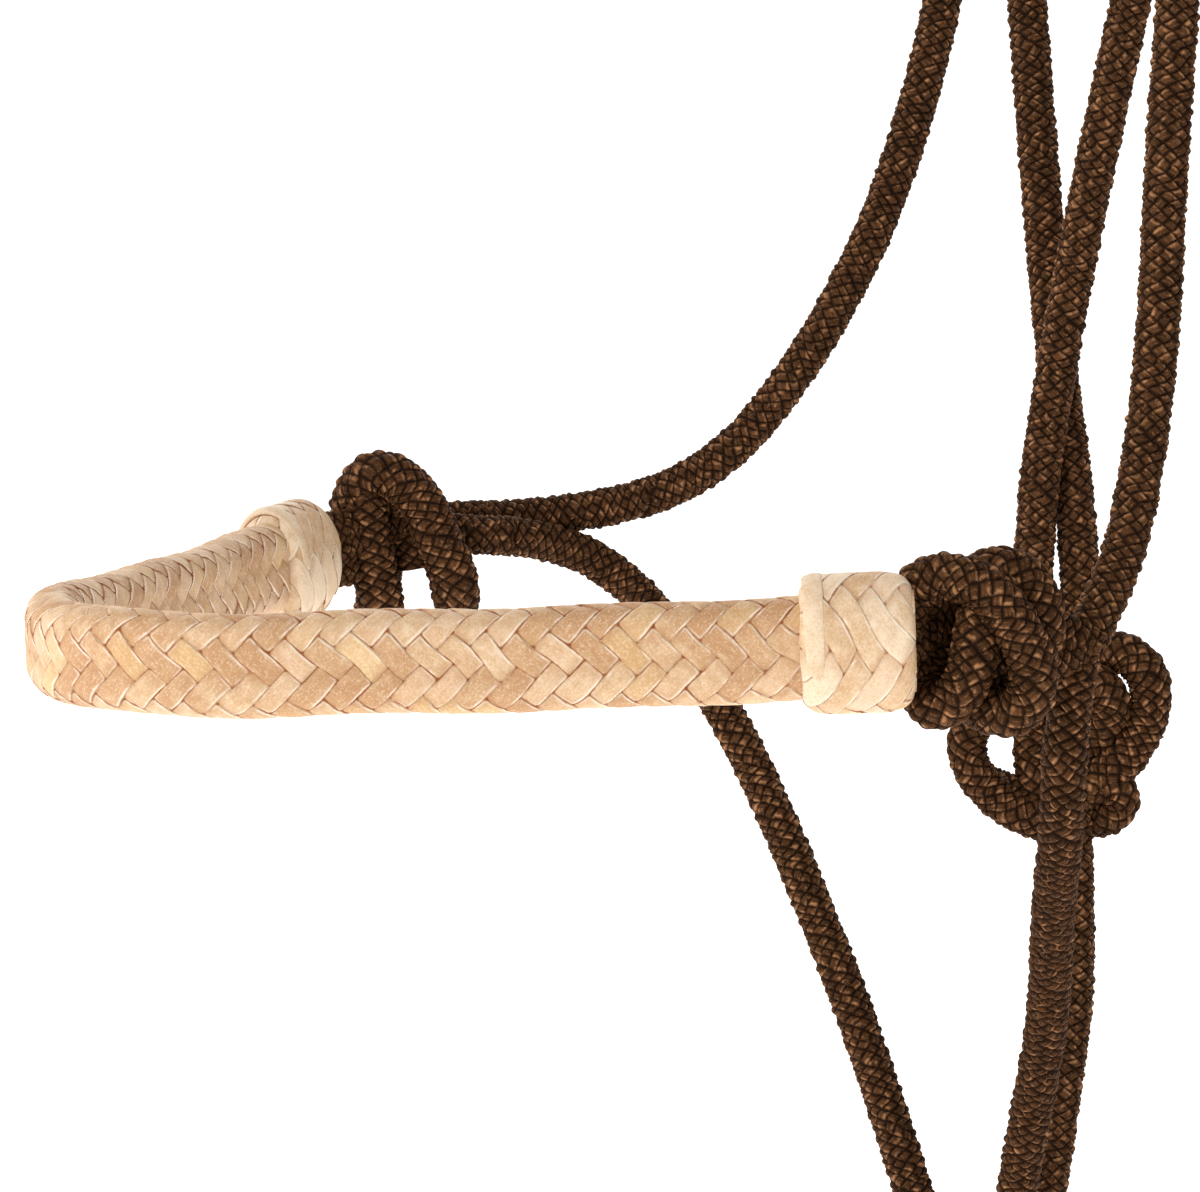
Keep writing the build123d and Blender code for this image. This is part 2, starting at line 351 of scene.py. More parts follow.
def ropeMaterial(name, shine=0.55):
    # Plaited polyester: dark strands with painted highlights on some rims and along the yarns, and painted
    # shade between them
    material, tree, shader = newMaterial(name)
    spot = add(tree, "ShaderNodeTexCoord").outputs["Object"]
    strand = braidNodes(tree, rope["over"], rope["columns"])
    fuzz = noise(tree, spot, ropeGrain["fuzz"], 3.0)
    clump = noise(tree, spot, ropeGrain["clump"], 2.0)
    patch = noise(tree, spot, ropeGrain["patch"], 2.0)
    # Yarns are a sine across each strand
    phase = maths(tree, "MULTIPLY", strand["across"], 22.0)
    yarns = maths(tree, "SINE", maths(tree, "MULTIPLY_ADD", clump, 2.5, phase))
    yarnLift = maths(tree, "MULTIPLY_ADD", yarns, 0.5, 0.5)
    near = maths(tree, "MINIMUM", strand["edge"], strand["end"])
    near = maths(tree, "MULTIPLY_ADD", maths(tree, "SUBTRACT", clump, 0.5), 0.16, near)
    # Mask for the painted shade between the strands: 0 in the gaps, 1 on the strands
    outsideGapShade = ramp(tree, near, -0.04, 0.3)
    tone = maths(tree, "MULTIPLY_ADD", strand["random"][0], 0.4, maths(tree, "MULTIPLY", patch, 0.9))
    tone = maths(tree, "MULTIPLY_ADD", fuzz, 0.4, maths(tree, "SUBTRACT", tone, 0.55), clamp=True)
    base = blendColour(tree, tone, colour(ropeColours["low"]), colour(ropeColours["high"]))
    # Painted highlights: along the lit side of some strands and in short strokes along the yarns
    chosen = maths(tree, "MULTIPLY_ADD", fuzz, 0.5, clump)
    chosen = maths(tree, "MULTIPLY_ADD", strand["random"][0], 0.3, chosen)
    litSide = maths(tree, "MULTIPLY_ADD", maths(tree, "SUBTRACT", clump, 0.5), 0.5, strand["across"])
    rimHighlight = maths(tree, "MULTIPLY", ramp(tree, litSide, 0.55, 0.85), ramp(tree, chosen, 0.7, 1.1))
    yarnHighlight = maths(tree, "MULTIPLY", ramp(tree, yarnLift, 0.6, 1.0), ramp(tree, fuzz, 0.45, 0.7))
    rimShine, streakShine = maths(tree, "MULTIPLY", rimHighlight, 0.8), maths(tree, "MULTIPLY", yarnHighlight, 0.35)
    glint = maths(tree, "MAXIMUM", rimShine, streakShine)
    base = blendColour(tree, glint, base, colour(ropeColours["light"]))
    # Painted shade: the gap colour laid between the strands
    base = blendColour(tree, outsideGapShade, colour(ropeColours["gap"]), base)
    tree.links.new(base, shader.inputs["Base Color"])
    tree.links.new(pick(tree, outsideGapShade, 1.0, shine), shader.inputs["Roughness"])
    shader.inputs["Specular IOR Level"].default_value = 0.05
    lift = maths(tree, "MULTIPLY_ADD", yarnLift, 0.3, outsideGapShade)
    lift = maths(tree, "MULTIPLY_ADD", fuzz, 0.5, lift)
    bump = add(tree, "ShaderNodeBump", {"Strength": 0.7, "Distance": 0.0002, "Height": lift})
    tree.links.new(bump.outputs[0], shader.inputs["Normal"])
    return material


def rawhideMaterial(name, over, columns, pale=0.0):
    # Dry rawhide strips: each its own tone and grainy, with painted highlights along some edges and painted
    # shade in the seams, in the corners and towards each strip's ends
    material, tree, shader = newMaterial(name)
    spot = add(tree, "ShaderNodeTexCoord").outputs["Object"]
    strip = braidNodes(tree, over, columns)
    grain = noise(tree, spot, hideGrain["grain"], 4.0)
    mottle = noise(tree, spot, hideGrain["mottle"], 3.0)
    broad = noise(tree, spot, hideGrain["broad"], 2.0)
    own = strip["random"][0]
    hue = add(tree, "ShaderNodeSeparateColor", {0: strip["random"][1]}).outputs
    tone = maths(tree, "MULTIPLY_ADD", own, 0.7, maths(tree, "MULTIPLY", mottle, 0.8))
    tone = maths(tree, "MULTIPLY_ADD", broad, 0.6, maths(tree, "SUBTRACT", tone, 0.63 - pale), clamp=True)
    tanHide, paleHide = colour(hideColours["tan"]), colour(hideColours["pale"])
    base = blendColour(tree, ramp(tree, tone, 0.0, 0.7), tanHide, colour(hideColours["cream"]))
    base = blendColour(tree, ramp(tree, tone, 0.5, 1.0), base, paleHide)
    pinkish = maths(tree, "MULTIPLY", ramp(tree, hue[0], 0.6, 1.0), 0.5)
    base = blendColour(tree, pinkish, base, colour(hideColours["pink"]))
    honeyed = maths(tree, "MULTIPLY", ramp(tree, hue[1], 0.8, 1.0), 0.5)
    base = blendColour(tree, honeyed, base, colour(hideColours["honey"]))
    fibreRun = maths(tree, "MULTIPLY", strip["run"], 1.6)
    fibreWidth = maths(tree, "MULTIPLY", strip["across"], 9.0)
    fibreShift = maths(tree, "MULTIPLY", own, 40.0)
    fibrePlace = add(tree, "ShaderNodeCombineXYZ", {0: fibreWidth, 1: fibreRun, 2: fibreShift})
    fibre = noise(tree, fibrePlace.outputs[0], 1.0, 4.0)
    lightFibre = maths(tree, "MULTIPLY", ramp(tree, fibre, 0.5, 0.72), 0.25)
    base = blendColour(tree, lightFibre, base, paleHide)
    darkFibre = maths(tree, "MULTIPLY", ramp(tree, fibre, 0.5, 0.3), 0.2)
    base = blendColour(tree, darkFibre, base, tanHide)
    speck = maths(tree, "MULTIPLY", ramp(tree, grain, 0.5, 0.68), 0.4)
    base = blendColour(tree, speck, base, paleHide)
    fleck = maths(tree, "MULTIPLY", ramp(tree, grain, 0.5, 0.34), 0.26)
    base = blendColour(tree, fleck, base, tanHide)
    wander = maths(tree, "MULTIPLY", maths(tree, "SUBTRACT", mottle, 0.5), 0.09)
    edge = maths(tree, "ADD", strip["edge"], wander)
    end = maths(tree, "ADD", strip["end"], wander)
    line = maths(tree, "MINIMUM", edge, end)
    highlightAndShadeNoise = noise(tree, spot, hideGrain["highlightAndShadeNoise"], 2.0)
    # Painted highlights along some strip edges, more on one side
    rimHighlight = maths(tree, "MULTIPLY", ramp(tree, line, 0.03, 0.06), ramp(tree, line, 0.16, 0.07))
    rimPatches = maths(tree, "MULTIPLY_ADD", strip["across"], -0.25, highlightAndShadeNoise)
    rimHighlight = maths(tree, "MULTIPLY", rimHighlight, ramp(tree, rimPatches, 0.3, 0.55))
    base = blendColour(tree, maths(tree, "MULTIPLY", rimHighlight, 0.65), base, colour(hideColours["edge"]))
    endShade = maths(tree, "MULTIPLY", ramp(tree, end, 0.5, 0.0), 0.4)
    base = blendColour(tree, endShade, base, tanHide)
    # Painted shade in the seams between strips and in their corners, in patches
    corner = ramp(tree, maths(tree, "ADD", edge, end), 0.2, 0.05)
    seamShadeChoice = maths(tree, "MULTIPLY_ADD", hue[2], 0.5, highlightAndShadeNoise)
    seamShade = maths(tree, "MULTIPLY", ramp(tree, line, 0.045, 0.005), ramp(tree, seamShadeChoice, 0.5, 1.0))
    seamShade = maths(tree, "MAXIMUM", seamShade, maths(tree, "MULTIPLY", corner, ramp(tree, seamShadeChoice, 0.35, 0.7)))
    base = blendColour(tree, seamShade, base, colour(hideColours["gap"]))
    tree.links.new(base, shader.inputs["Base Color"])
    shader.inputs["Roughness"].default_value = 0.6
    shader.inputs["Specular IOR Level"].default_value = 0.25
    shader.inputs["Subsurface Weight"].default_value = 0.06
    shader.inputs["Subsurface Radius"].default_value = (0.0012, 0.0006, 0.0003)
    shader.inputs["Subsurface Scale"].default_value = 1.0
    lift = maths(tree, "MULTIPLY_ADD", grain, 0.3, ramp(tree, line, 0.0, 0.09))
    lift = maths(tree, "MULTIPLY_ADD", mottle, 0.35, lift)
    bump = add(tree, "ShaderNodeBump", {"Strength": 0.6, "Distance": 0.0003, "Height": lift})
    tree.links.new(bump.outputs[0], shader.inputs["Normal"])
    return material


def meltedMaterial():
    # Heat-sealed polyester: dark, lumpy and dull
    material, tree, shader = newMaterial("melted_polyester")
    spot = add(tree, "ShaderNodeTexCoord").outputs["Object"]
    lumps = noise(tree, spot, 900.0, 3.0)
    base = blendColour(tree, lumps, colour(tipColours["dark"]), colour(tipColours["light"]))
    tree.links.new(base, shader.inputs["Base Color"])
    shader.inputs["Roughness"].default_value = 0.5
    shader.inputs["Specular IOR Level"].default_value = 0.25
    bump = add(tree, "ShaderNodeBump", {"Strength": 0.5, "Distance": 0.0003, "Height": lumps})
    tree.links.new(bump.outputs[0], shader.inputs["Normal"])
    return material


def paperMaterial(name, code, roughness):
    # White paper that glows a little, so it stays white in soft light
    material, tree, shader = newMaterial(name)
    spot = add(tree, "ShaderNodeTexCoord").outputs["Object"]
    tone = noise(tree, spot, 3.0, 2.0)
    base = blendColour(tree, maths(tree, "MULTIPLY", tone, 0.06), colour(code), colour("E4E2DE"))
    tree.links.new(base, shader.inputs["Base Color"])
    shader.inputs["Roughness"].default_value = roughness
    shader.inputs["Emission Color"].default_value = (1, 1, 1, 1)
    shader.inputs["Emission Strength"].default_value = 0.75
    return material


ropeSheath = ropeMaterial("plaited_polyester_rope")
bandHide = rawhideMaterial("braided_rawhide", band["over"], band["columns"], pale=0.0)
buttonHide = rawhideMaterial("rawhide_button_braid", button["over"], button["columns"], pale=0.36)
meltedEnd = meltedMaterial()
print("materials ready")

azimuth, elevation = math.radians(look["azimuth"]), math.radians(look["elevation"])
forward = Vector((
    math.sin(azimuth) * math.cos(elevation),
    math.cos(azimuth) * math.cos(elevation),
    -math.sin(elevation),
))
cameraData = bpy.data.cameras.new("camera")
cameraData.lens = look["lens"]
cameraData.sensor_width = 36
cameraData.clip_start = 0.05
cameraData.clip_end = 50
camera = bpy.data.objects.new("camera", cameraData)
bpy.context.scene.collection.objects.link(camera)
camera.location = Vector(place(look["aim"])) - look["distance"] * forward
camera.rotation_euler = forward.to_track_quat("-Z", "Y").to_euler()
bpy.context.scene.camera = camera

# The routes of the CAD tubes, in metres, with the far side eased a few millimetres
routes = {
    "near_cheek_rope": [
        (0.0315, -0.0874, -0.001),
        (0.0405, -0.0862, 0.009),
        (0.0465, -0.0850, 0.027),
        (0.0505, -0.0838, 0.047),
        (0.0545, -0.0810, 0.082),
        (0.0640, -0.0760, 0.136),
        (0.0780, -0.0690, 0.190),
        (0.0870, -0.0640, 0.233),
    ],
    "near_chin_rope": [
        (0.0320, -0.0872, 0.001),
        (0.0295, -0.0866, -0.014),
        (0.0345, -0.0800, -0.031),
        (0.0480, -0.0620, -0.047),
        (0.0660, -0.0400, -0.071),
        (0.0770, -0.0200, -0.098),
        (0.0820, -0.0085, -0.125),
    ],
    "far_cheek_rope": [
        (0.0350, 0.0880, 0.006),
        (0.0550, 0.0850, 0.0054),
        (0.0750, 0.0680, 0.0126),
        (0.0868, 0.0530, 0.0350),
        (0.1020, 0.0462, 0.0672),
        (0.1180, 0.0480, 0.115),
        (0.1235, 0.0575, 0.172),
        (0.1260, 0.0625, 0.233),
    ],
    "far_chin_rope": [
        (0.0350, 0.0802, 0.004),
        (0.0460, 0.0806, 0.003),
        (0.0610, 0.0780, -0.003),
        (0.0710, 0.0690, -0.018),
        (0.0752, 0.0550, -0.037),
        (0.0770, 0.0400, -0.060),
        (0.0785, 0.0220, -0.090),
        (0.0820, 0.0085, -0.125),
    ],
    "throat_rope_near": [
        (0.0920, -0.0055, -0.125),
        (0.0935, -0.0095, -0.099),
        (0.0965, -0.0115, -0.069),
        (0.0965, -0.0095, -0.038),
    ],
    "throat_rope_far": [
        (0.0940, 0.0040, -0.125),
        (0.0990, -0.0015, -0.099),
        (0.1035, -0.0050, -0.069),
        (0.1015, -0.0020, -0.038),
    ],
    "throatlatch_near": [
        (0.0925, -0.0028, -0.018),
        (0.0924, -0.0032, 0.010),
        (0.0950, -0.0065, 0.038),
        (0.0960, -0.0160, 0.076),
        (0.0950, -0.0340, 0.127),
        (0.0930, -0.0490, 0.180),
        (0.0925, -0.0570, 0.233),
    ],
    "throatlatch_far": [
        (0.1005, -0.0080, -0.018),
        (0.1006, -0.0060, 0.010),
        (0.0996, -0.0003, 0.038),
        (0.1032, 0.0095, 0.077),
        (0.1120, 0.0260, 0.128),
        (0.1235, 0.0425, 0.180),
        (0.1335, 0.0580, 0.233),
    ],
    "crown_rope_front": [
        (0.0865, -0.0670, 0.290),
        (0.0885, -0.0710, 0.325),
        (0.0955, -0.0700, 0.366),
        (0.1045, -0.0580, 0.405),
        (0.1135, -0.0380, 0.435),
        (0.1195, -0.0140, 0.450),
        (0.1235, 0.0140, 0.450),
        (0.1265, 0.0380, 0.435),
        (0.1280, 0.0580, 0.405),
        (0.1280, 0.0700, 0.366),
        (0.1275, 0.0710, 0.325),
        (0.1270, 0.0675, 0.286),
        (0.1265, 0.0605, 0.247),
    ],
    "tail_long": [
        (0.0940, -0.0830, 0.270),
        (0.0930, -0.0855, 0.236),
        (0.0955, -0.0840, 0.182),
        (0.0940, -0.0815, 0.112),
        (0.0975, -0.0835, 0.034),
        (0.0960, -0.0820, -0.046),
        (0.0980, -0.0840, -0.118),
        (0.0965, -0.0855, -0.160),
    ],
    "tail_short": [
        (0.1025, -0.0830, 0.270),
        (0.1040, -0.0850, 0.238),
        (0.1075, -0.0840, 0.188),
        (0.1055, -0.0825, 0.124),
        (0.1080, -0.0845, 0.054),
        (0.1065, -0.0835, -0.016),
        (0.1090, -0.0850, -0.070),
    ],
}
routes["crown_rope_rear"] = [(x + 0.007, y, z) for x, y, z in routes["crown_rope_front"]]
plainer = ("crown_rope_front", "crown_rope_rear", "tail_long", "tail_short")

ropes = {}
for label, route in routes.items():
    steps = hiddenSteps if label in plainer else rope["steps"]
    ropes[label] = makeObject(f"rope.{label}", [ropePiece(place(route), steps=steps)], ropeSheath)
    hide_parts(label)
print("rope runs ready")

tieLoop = [
    (0.0825, -0.0620, 0.246), (0.0825, -0.0660, 0.2925), (0.0975, -0.0660, 0.2925), (0.0975, -0.0620, 0.246),
]
leadLoop = [
    (0, -0.0075, -0.150), (0, -0.0120, -0.174), (0, -0.0115, -0.207),
    (0, 0.0115, -0.207), (0, 0.0120, -0.174), (0, 0.0075, -0.150),
]
ropes["tie_loop"] = makeObject("rope.tie_loop", [ropePiece(place(tieLoop), steps=hiddenSteps)], ropeSheath)
for label, x in (("lead_loop_front", 0.0845), ("lead_loop_rear", 0.0915)):
    loopRoute = place(leadLoop) + (x, 0, 0)
    ropes[label] = makeObject(f"rope.{label}", [ropePiece(loopRoute, steps=hiddenSteps)], ropeSheath)
for label in ("tie_loop", "lead_loop_front", "lead_loop_rear"):
    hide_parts(label)

lean = math.radians(band["angle"])
slope = math.radians(band["pitch"])
arcX = -band["leg"] * math.cos(lean) + band["arcRadius"] * math.sin(lean)
tangentY = band["arcRadius"] * math.cos(lean)
endY = tangentY + band["leg"] * math.sin(lean)
arcSweep = math.pi - 2 * lean
arcLength = band["arcRadius"] * arcSweep
bandLength = 2 * band["leg"] + arcLength


def bandLine(reach):
    # Middle line of the band in its own plane, and its outward direction, at a length from the near end
    onArc = np.clip(reach - band["leg"], 0, arcLength) / band["arcRadius"]
    nearRun = np.clip(reach, 0, band["leg"])
    farRun = np.clip(reach - band["leg"] - arcLength, 0, band["leg"])
    x = -nearRun * math.cos(lean) + farRun * math.cos(lean)
    y = -endY + nearRun * math.sin(lean) + farRun * math.sin(lean)
    # On the arc, outward turns from the near leg's side to the far leg's
    firstOut = -(math.pi / 2 + lean)
    outAngle = firstOut - onArc
    x = x + band["arcRadius"] * (np.cos(outAngle) - math.cos(firstOut))
    y = y + band["arcRadius"] * (np.sin(outAngle) - math.sin(firstOut))
    return x * band["pulled"], y, np.cos(outAngle), np.sin(outAngle)


def bandPoint(x, y, z):
    # From the band's own plane, which is lower at the nose, to the part's frame
    out = np.stack([
        x * math.cos(slope) - z * math.sin(slope),
        y,
        band["endHeight"] + x * math.sin(slope) + z * math.cos(slope),
    ], axis=-1)
    return out - (poll["back"], 0, poll["height"])


def stadium(fraction, height, thickness):
    # Outward and upward offsets, and their directions, at a fraction of the way round a rounded oblong
    half, radius = (height - thickness) / 2, thickness / 2
    perimeter = 4 * half + 2 * math.pi * radius
    length = fraction * perimeter
    halfTurn = math.pi * radius
    angle = np.clip((length - half) / radius, 0, math.pi)
    angle = angle + np.clip((length - 3 * half - halfTurn) / radius, 0, math.pi)
    straight = np.clip(length, 0, half) - np.clip(length - half - halfTurn, 0, 2 * half)
    straight = straight + np.clip(length - 3 * half - 2 * halfTurn, 0, half)
    return radius * np.cos(angle), straight + radius * np.sin(angle), np.cos(angle), np.sin(angle)


bandSteps = band["steps"]
rows = int(round(bandLength / band["strandPitch"]))
along = (np.arange(rows * bandSteps + 1) / bandSteps)[:, None]
around = (np.arange(band["columns"] * bandSteps + 1) / bandSteps)[None, :]
braidAlong, braidAround = wandered(along, around, band["columns"], band["wander"])
height = stripHeight(braidAlong[:, :-1], braidAround[:, :-1], band["over"], band["columns"], band["uneven"])
lineX, lineY, outX, outY = bandLine(along / rows * bandLength)
fraction = around[:, :-1] / band["columns"]
outward, upward, normalOut, normalUp = stadium(fraction, band["height"], band["thickness"])
sway = band["sway"][0] * np.sin(along * 0.83 + 0.4) + band["sway"][1] * np.sin(along * 0.37 + 2.1)
# The band rises at the nose as a bell curve, and at both ends as the cube of the distance from the middle
fromNose = (along / rows - 0.5) * bandLength / band["riseSpread"]
lift = band["relief"] * height
outward = outward + normalOut * lift
upward = upward + normalUp * lift + sway + band["rise"] * np.exp(-fromNose ** 2)
upward = upward + band["endRise"] * (np.abs(2 * along / rows - 1) ** 3 * 1.5 - 0.5)
rings = bandPoint(lineX + outX * outward, lineY + outY * outward, upward)
uv = np.stack([braidAlong, braidAround], axis=-1)
cover = makeObject("noseband.cover", [gridMesh(rings, uv)], bandHide)
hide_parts("noseband_cover", "noseband_core_upper", "noseband_core_lower")
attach(cover, "noseband")


def buttonGrid(side):
    # A barrel of braided rawhide round one end of the band
    steps = button["steps"]
    rowCount = button["length"] / button["strandPitch"]
    ringCount = int(round(rowCount * steps))
    along = (np.arange(ringCount + 1) / steps)[:, None]
    around = (np.arange(button["columns"] * steps + 1) / steps)[None, :]
    place01 = along / along[-1]
    # The shoulders are the square root of one less the fifth power of the distance from the middle
    shoulder = (1 - np.abs(2 * place01 - 1) ** 5) ** 0.5
    braidAlong, braidAround = wandered(along + 3, around, button["columns"], button["wander"])
    height = stripHeight(
        braidAlong[:, :-1], braidAround[:, :-1], button["over"], button["columns"], button["uneven"],
    )
    angle = 2 * np.pi * around[:, :-1] / button["columns"]
    size = button["shoulder"] + (1 - button["shoulder"]) * shoulder
    x = button["thickness"] * size * np.cos(angle)
    z = button["height"] * size * np.sin(angle) + (button["rise"] if side < 0 else 0)
    lift = button["relief"] * height
    x = x + np.cos(angle) * lift
    z = z + np.sin(angle) * lift
    length = button["length"] * (button["farther"] if side > 0 else 1)
    reach = place01 * length if side < 0 else bandLength - place01 * length
    lineX, lineY, outX, outY = bandLine(reach)
    rings = bandPoint(lineX + outX * x, lineY + outY * x, z + 0 * lineX)
    uv = np.stack([braidAlong, braidAround], axis=-1)
    return gridMesh(rings, uv) if side < 0 else gridMesh(rings[::-1], uv[::-1])


def collarGrid(side):
    # A flat strip round the button's band end, on top from the crown to the front and tucked in below.
    # Its section is a superellipse, width by thickness, carried round the button's oval
    angle = np.linspace(-np.pi, np.pi, 97)[:, None]
    turn = np.linspace(0, 2 * np.pi, 17)[None, :]
    shown = 0.5 + 0.5 * np.cos(np.clip(0.8 * (np.mod(angle + 0.45, 2 * np.pi) - 1.5), -np.pi, np.pi))
    width = collar["width"] * (0.1 + 0.9 * shown ** 0.7)
    across = width * np.sign(np.cos(turn)) * np.abs(np.cos(turn)) ** 0.35
    raised = collar["thickness"] * np.sign(np.sin(turn)) * np.abs(np.sin(turn)) ** 0.6
    raised = raised - collar["sink"] + collar["lift"] * shown
    raised = raised - collar["slant"] * np.abs(across) * (across > 0)
    x = (button["thickness"] + raised) * np.cos(angle)
    z = (button["height"] + raised) * np.sin(angle) + (button["rise"] if side < 0 else 0)
    fromEnd = collar["place"] + across - collar["trail"] * (1 - shown)
    reach = fromEnd if side < 0 else bandLength - fromEnd - collar["place"] * (button["farther"] - 1)
    lineX, lineY, outX, outY = bandLine(reach)
    rings = bandPoint(lineX + outX * x, lineY + outY * x, z)[:, :-1]
    uv = np.stack(np.broadcast_arrays(1.0 + 0 * angle, 0.5 + 0 * turn), axis=-1)
    return gridMesh(rings, uv) if side > 0 else gridMesh(rings[::-1], uv[::-1])


for label, side in (("near_button", -1), ("far_button", 1)):
    piece = makeObject(f"noseband.{label}", [buttonGrid(side), collarGrid(side)], buttonHide)
    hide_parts(label)
    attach(piece, "noseband")
print("noseband ready")

viewRight = np.array((math.cos(azimuth), -math.sin(azimuth), 0))
viewDeep = np.array((math.sin(azimuth), math.cos(azimuth), 0))
straightUp = np.array((0, 0, 1))
facing = (viewRight, viewDeep, straightUp)
squared = (np.array((1, 0, 0)), np.array((0, 1, 0)), straightUp)


def strandPoints(centre, strand, axes):
    # Millimetres along three directions from a knot's middle
    first, second, third = np.array(strand, float).T[:, :, None] / 1000
    return place([centre]) + first * axes[0] + second * axes[1] + third * axes[2]


def knotPiece(label, centre, strands, body, steps=None, axes=facing):
    # Strands tied together, each with its radius
    grids = [ropePiece(strandPoints(centre, points, axes), radius, steps) for radius, points in strands]
    piece = makeObject(f"knot.{label}", grids, ropeSheath)
    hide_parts(label)
    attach(piece, body)
    return piece


nearNoseStrands = [
    (0.0037, [
        (-14, -3.5, 1), (-12.5, -0.5, 6.5), (-8.5, -3, 10.2), (-2.2, -5.2, 9.8), (2.2, -6, 5.8),
        (5.2, -6.3, 1), (7.0, -6.3, -3.6), (7.1, -5.8, -8), (4.2, -4.8, -11.4), (0, -2, -11),
        (-3, 1.5, -8.5), (-3, 5, -4),
    ]),
    (0.0036, [
        (-5, 2, 5.5), (-2, 1.5, 9.6), (2.4, 1, 11.2), (6.8, 1, 8.9), (8.9, 1.5, 4.3), (8.7, 2.5, -1),
        (7, 4, -5), (3, 5, -9),
    ]),
    (0.0038, [
        (3, -0.5, 9), (-0.8, -2.6, 5.2), (-1.8, -4.4, 0), (-2.3, -5, -4.2), (-4.4, -4.8, -8.6),
        (-8, -2.8, -10.6), (-9.6, 1.5, -8.5), (-8, 5, -3), (-4, 6.5, 2),
    ]),
    (0.0034, [
        (-14, -3.5, -2.5), (-10.5, 2, 0.5), (-6, 5.5, 2.5), (0, 6, 2), (5, 6, -2), (4, 5.5, -8),
        (-2, 5, -9),
    ]),
    (0.0034, [
        (-13, 0, -5), (-9, 4, -5), (-4, 6.5, -4), (2, 6.5, -5), (8, 7, 0),
    ]),
    (0.0032, [
        (-14, 0, 4), (-8, 4, 5.6), (-2, 5, 6), (4, 5, 6),
    ]),
    (0.0035, [
        (-3, 2, -2), (3, 4, -5), (9, 7.5, -5), (15, 11.6, -3), (17, 12.6, -2),
    ]),
    (0.0035, [
        (-3, 3, 4), (3, 4.5, 5), (9, 7.5, 2), (14, 10.8, -2), (17.5, 12.8, -1.5),
    ]),
]
knotPiece("near_nose_knot", (0.012, -0.088, 0.002), nearNoseStrands, "noseband")

farNoseStrands = [
    (0.0041, [
        (-9, 4, -4), (-9.8, 2, 2), (-9.3, -1, 7.6), (-6, -3, 12), (-1, -3.5, 11.2), (3.4, -4, 6.6),
        (5.6, -4.4, 1), (8.2, -4.5, -4), (9.5, -4, -9.4), (9, 1, -12), (8, 4, -7), (6, 5, -2),
    ]),
    (0.0041, [
        (0, 3, 7), (-3.5, 1, 9), (-7.4, -1.6, 7.6), (-6.6, -2.5, 0), (-5.6, -3, -5), (-4.2, -3, -12),
        (-4.2, 0.5, -17), (-5.4, 5, -14), (-5, 6, -6), (-3, 5, 0),
    ]),
    (0.0040, [
        (-3, 4, 9), (0, 4.5, 4), (0.8, 4.6, -1), (1.6, 4.5, -6),
    ]),
    (0.0035, [
        (-17, -12, -2.4), (-12, -7, -1.4), (-7, 0, 0.6), (-2, 4, 2), (4, 5, 0.6), (12, 4.9, 0),
        (19, 5.6, -0.4),
    ]),
    (0.0035, [
        (-17, -11.5, 1), (-12, -6.5, 2), (-8, 0, 2), (-3, 4, 0),
    ]),
    (0.0032, [
        (-16.5, -11.5, -4.5), (-12, -6, -5.4), (-8, 0, -5), (-4, 3, -4),
    ]),
    (0.0035, [
        (-4, 4, 0), (1, 6, 1.4), (6, 9, 2), (10.4, 11.2, 2), (14, 13.2, 2),
    ]),
]
knotPiece("far_nose_knot", (0.020, 0.085, 0.004), farNoseStrands, "noseband")

throatStrands = [
    (0.0037, [
        (0, 3, 9), (4.5, 1, 14.2), (10.3, -1, 15), (14.8, -2, 11.8), (15.7, -2, 6), (13.7, -2, 0),
        (10.5, -2.5, -4.6), (4.5, -2.5, -9.5), (-2, -1, -13),
    ]),
    (0.0036, [
        (-3, -2, 7.4), (1.5, -3.5, 9.8), (6.6, -3.8, 9.6), (8.8, -3, 5.0), (7.0, -1, 0), (3, 2, -3),
    ]),
    (0.0035, [
        (5, 4, -1), (9, 3.5, 2.0), (13, 3, 2.6), (15, 3, -2),
    ]),
    (0.0035, [
        (-7, 2, 7), (-12.5, 1, 4.5), (-16.6, 0, 0.5), (-16.4, -1, -4.8), (-13.4, -1.5, -9.2),
        (-8.6, -2, -13.2), (-2, -1, -15.8), (4, 1, -15),
    ]),
    (0.0034, [
        (-2, 0, -7), (4, -2.5, -8.8), (9.4, -3, -8.2), (10.6, -2.5, -12), (8, -1.5, -14.6),
        (2, 0, -15.4),
    ]),
    (0.0034, [
        (-4, 3, 14), (-5, 2, 5), (-4.8, 2, -3), (-4.6, 0.5, -9), (-2.5, 1, -15),
    ]),
    (0.0034, [
        (-13, 3, -9), (-9, 2.5, -11), (-4, 2.5, -10.6), (2, 3, -8),
    ]),
    (0.0034, [
        (3, 4, 14), (4, 4, 4), (3.5, 4, -6), (1, 3, -16),
    ]),
]
knotPiece("throat_knot", (0.097, -0.006, -0.028), throatStrands, "headstall")


def tiedStrand(times, bights, radius, depth, height, thick=3.3):
    # One strand tied round as a torus knot, where t is the angle run: the distance from the axis is
    # the radius plus depth times the cosine of bights times t, and the rise height times its sine
    t = np.linspace(0, 2 * math.pi, 24 * times + 1)
    out = radius + depth * np.cos(bights * t)
    up = height * np.sin(bights * t)
    return [(thick / 1000, np.column_stack([out * np.cos(times * t), out * np.sin(times * t), up]))]


